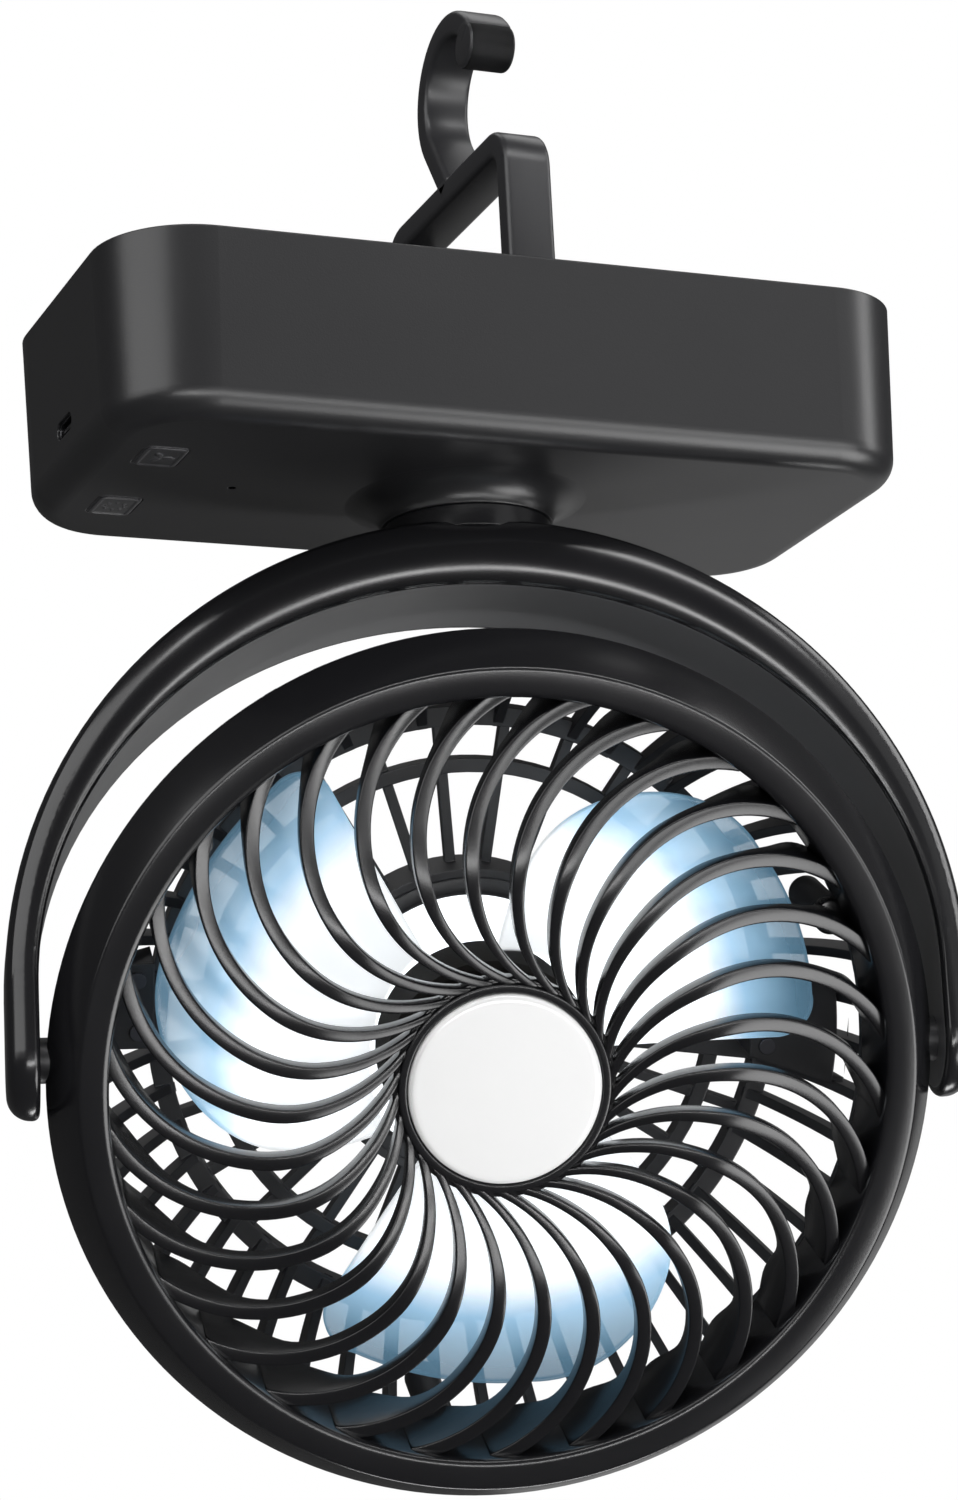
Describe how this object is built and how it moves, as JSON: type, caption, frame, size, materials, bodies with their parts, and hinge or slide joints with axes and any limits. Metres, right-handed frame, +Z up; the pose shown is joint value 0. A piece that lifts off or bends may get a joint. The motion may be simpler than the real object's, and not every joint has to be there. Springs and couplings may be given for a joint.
{
  "type": "portable camping fan",
  "caption": "Hanging camping fan and light: slab battery base with a folding hook, swivelling yoke and a tilting round head with curved grille ribs and translucent blades.",
  "frame": {"origin": "the crook of the hook, the top of its inner curve, where the fan hangs from a line", "axes": "+Z up, +X along the base towards the end without buttons, -Y the side that the head faces"},
  "size_m": [0.1688, 0.1094, 0.2703],
  "materials": {
    "shell_black": "fine matte moulded plastic with soft satin highlights",
    "hook_black": "smooth satin moulded plastic",
    "button_black": "matte moulded plastic",
    "yoke_black": "smooth satin-gloss moulded plastic",
    "liner_grey": "smooth satin moulded plastic",
    "grille_black": "smooth satin moulded plastic",
    "housing_black": "matte moulded plastic",
    "rotor_black": "matte moulded plastic",
    "pin_black": "matte moulded plastic",
    "cap_white": "glossy white plastic disc with a bevelled edge",
    "blade_blue": "translucent pale blue plastic, frosted at the edges",
    "diffuser_white": "milky translucent diffuser, lit from behind",
    "board_white": "white printed board with small lights",
    "board_green": "green printed circuit board",
    "indicator_clear": "small smoked light pipe",
    "cell_can": "metal battery can in a coloured sleeve",
    "foot_rubber": "soft black rubber",
    "pin_steel": "turned steel",
    "screw_steel": "dark plated steel",
    "port_steel": "stamped steel shell",
    "motor_iron": "laminated iron and copper winding"
  },
  "bodies": {
    "base": {"base_shell": "shell_black", "base_cover": "shell_black", "cover_screws": "screw_steel", "rubber_feet": "foot_rubber", "hook_pins": "pin_steel", "battery_cells": "cell_can", "control_board": "board_green", "board_screws": "screw_steel", "usb_port": "port_steel", "indicator_lens": "indicator_clear"},
    "hook": {"hanging_hook": "hook_black"},
    "fan_key": {"fan_button": "button_black"},
    "light_key": {"light_button": "button_black"},
    "yoke": {"yoke": "yoke_black", "yoke_liner": "liner_grey", "swivel_retainer": "pin_steel", "swivel_screws": "screw_steel"},
    "head": {"tilt_pin_left": "pin_black", "tilt_pin_right": "pin_black", "front_grille": "grille_black", "hub_cap": "cap_white", "rear_housing": "housing_black", "housing_screws": "screw_steel", "duct_cover_right": "housing_black", "duct_cover_left": "housing_black", "duct_screws": "screw_steel", "motor_base": "housing_black", "motor_bearings": "pin_steel", "motor_stator": "motor_iron", "led_board": "board_white", "led_lens": "diffuser_white"},
    "rotor": {"impeller": "blade_blue", "rotor_hub": "rotor_black", "magnet_ring": "motor_iron", "motor_shaft": "pin_steel"}
  },
  "joints": [
    {"name": "hook_fold", "type": "hinge", "parent": "base", "child": "hook", "pos_m": [0, 0.004, -0.061], "axis": [0, -1, 0], "range_deg": [0, 90]},
    {"name": "fan_press", "type": "slide", "parent": "base", "child": "fan_key", "axis": [0, 0, 1], "range_m": [0, 0.0005], "stiffness_N_per_m": 2000, "springref_m": -0.0004},
    {"name": "light_press", "type": "slide", "parent": "base", "child": "light_key", "axis": [0, 0, 1], "range_m": [0, 0.0005], "stiffness_N_per_m": 2000, "springref_m": -0.0004},
    {"name": "yoke_swivel", "type": "hinge", "parent": "base", "child": "yoke", "pos_m": [-0.003, 0.004, -0.0895], "axis": [0, 0, 1], "range_deg": [-146, 174]},
    {"name": "head_tilt", "type": "hinge", "parent": "yoke", "child": "head", "pos_m": [-0.003, 0.004, -0.1905], "axis": [0.9703, -0.2419, 0], "range_deg": [-115, 65]},
    {"name": "rotor_spin", "type": "hinge", "parent": "head", "child": "rotor", "pos_m": [-0.00299, 0.00404, -0.1939], "axis": [-0.2193, -0.8794, -0.4226], "continuous": true}
  ]
}
